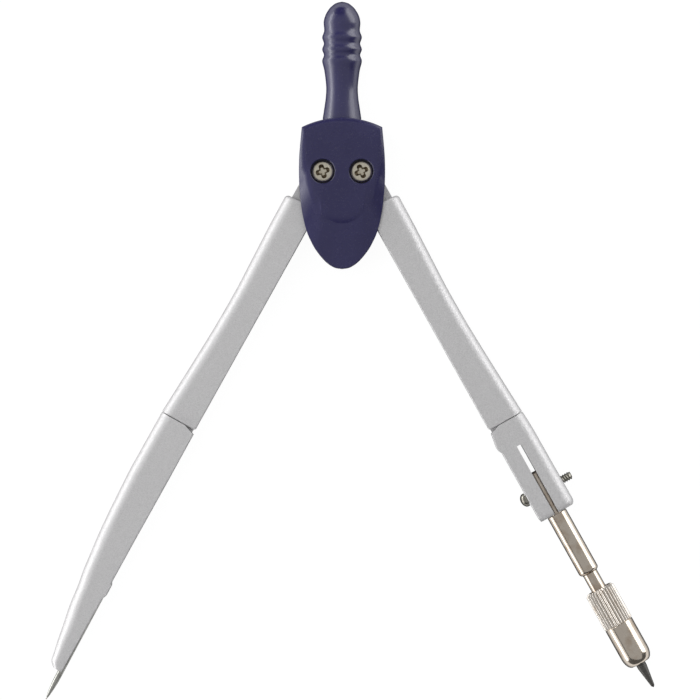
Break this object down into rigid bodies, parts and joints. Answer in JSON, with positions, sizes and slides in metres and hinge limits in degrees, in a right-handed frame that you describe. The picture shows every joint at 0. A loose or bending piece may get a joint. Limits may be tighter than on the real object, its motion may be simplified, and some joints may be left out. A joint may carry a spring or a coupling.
{
  "type": "drawing compass",
  "caption": "Self-centring drawing compass with geared leg roots, bending knees, a needle leg and a clamped collet lead holder.",
  "frame": {"origin": "midway between the two leg pivots, on the flat back of the head, which the compass rests on", "axes": "+X towards the pencil leg, +Y towards the handle, +Z out of the front of the head"},
  "size_m": [0.1219, 0.1404, 0.0104],
  "materials": {
    "navy_plastic": "glossy navy moulding",
    "silver_paint": "satin silver paint with fine metallic flake on die-cast zinc",
    "brassy_nickel": "nickel plate with a warm, slightly brassy tint",
    "nickel": "polished nickel plate on turned brass",
    "brass": "turned brass",
    "steel": "plain zinc-plated steel",
    "needle_steel": "ground hard steel",
    "nylon": "natural nylon",
    "graphite": "sharpened graphite, with a dull grey sheen"
  },
  "bodies": {
    "head": {"handle": "navy_plastic", "handle_stud": "steel", "head_front_cover": "navy_plastic", "head_back_cover": "navy_plastic", "pivot_screw_left": "brassy_nickel", "pivot_screw_right": "brassy_nickel", "pivot_nut_left": "steel", "pivot_nut_right": "steel", "pivot_bush_left": "steel", "pivot_bush_right": "steel", "friction_washer_left_back": "nylon", "friction_washer_left_front": "nylon", "friction_washer_right_back": "nylon", "friction_washer_right_front": "nylon"},
    "right_leg": {"upper_leg_right": "silver_paint", "knee_pin_right": "steel"},
    "left_leg": {"upper_leg_left": "silver_paint", "knee_pin_left": "steel"},
    "right_lower_leg": {"lower_leg_right": "silver_paint"},
    "left_lower_leg": {"lower_leg_left": "silver_paint", "needle": "needle_steel", "needle_set_screw": "steel"},
    "clamp_screw": {"clamp_screw": "nickel"},
    "lead_holder": {"lead_holder_body": "nickel", "collet": "brass"},
    "collet_nut": {"collet_nut": "nickel"},
    "lead": {"lead": "graphite"}
  },
  "joints": [
    {"name": "right_leg_swing", "type": "hinge", "parent": "head", "child": "right_leg", "pos_m": [0.00386, 0, 0.0052], "axis": [0, 0, 1], "range_deg": [-28.7, 25.8]},
    {"name": "left_leg_swing", "type": "hinge", "parent": "head", "child": "left_leg", "pos_m": [-0.00386, 0, 0.0052], "axis": [0, 0, 1], "range_deg": [-25.8, 28.7]},
    {"name": "right_knee_bend", "type": "hinge", "parent": "right_leg", "child": "right_lower_leg", "pos_m": [0.03027, -0.04951, 0.0052], "axis": [0, 0, -1], "range_deg": [0, 22]},
    {"name": "left_knee_bend", "type": "hinge", "parent": "left_leg", "child": "left_lower_leg", "pos_m": [-0.03027, -0.04951, 0.0052], "axis": [0, 0, 1], "range_deg": [0, 22]},
    {"name": "clamp_screw_turn", "type": "hinge", "parent": "right_lower_leg", "child": "clamp_screw", "pos_m": [0.03715, -0.06571, 0.0036], "axis": [0.8729, 0.4879, 0], "range_deg": [-360, 0]},
    {"name": "holder_slide", "type": "slide", "parent": "right_lower_leg", "child": "lead_holder", "axis": [0.4879, -0.8729, 0], "range_m": [0, 0.008]},
    {"name": "collet_nut_turn", "type": "hinge", "parent": "lead_holder", "child": "collet_nut", "pos_m": [0.00456, 0.00039, 0.0059], "axis": [0.4879, -0.8729, 0], "range_deg": [-360, 0]},
    {"name": "lead_feed", "type": "slide", "parent": "lead_holder", "child": "lead", "axis": [0.4879, -0.8729, 0], "range_m": [-0.002, 0.003]}
  ],
  "couplings": [
    {"joint": "left_leg_swing", "follows": "right_leg_swing", "ratio": -1}
  ]
}
